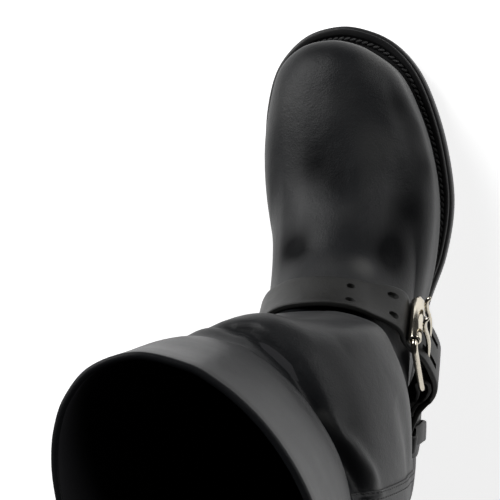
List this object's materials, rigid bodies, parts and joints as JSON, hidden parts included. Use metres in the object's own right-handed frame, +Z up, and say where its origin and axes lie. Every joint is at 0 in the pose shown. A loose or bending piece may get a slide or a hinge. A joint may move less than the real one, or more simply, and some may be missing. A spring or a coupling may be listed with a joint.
{
  "type": "engineer boot",
  "caption": "Tall pull-on black leather engineer boot for the right foot, with a plain round toe, welted rubber sole, block heel, slack shaft and a buckled instep strap.",
  "frame": {"origin": "centre of the heel's underside, on the floor", "axes": "+Z up the shaft, +Y towards the toe, +X towards the outer side of the right foot"},
  "size_m": [0.1249, 0.2934, 0.3823],
  "materials": {
    "black_leather": "soft matte black leather with a slight sheen and fine grain",
    "welt_leather": "black dyed and stitched welt strip",
    "insole_leather": "dark matte leather board",
    "sole_rubber": "black matte rubber",
    "pale_metal": "polished pale gold coloured plate"
  },
  "bodies": {
    "root": {"outsole": "sole_rubber", "heel": "sole_rubber", "welt": "welt_leather", "insole": "insole_leather", "upper": "black_leather", "side_seam_outer": "black_leather", "side_seam_inner": "black_leather", "instep_strap": "black_leather", "buckle_strap": "black_leather", "strap_keeper": "black_leather", "buckle_frame": "pale_metal", "buckle_roller": "pale_metal", "buckle_prong_lower": "pale_metal", "buckle_prong_upper": "pale_metal"}
  },
  "joints": []
}
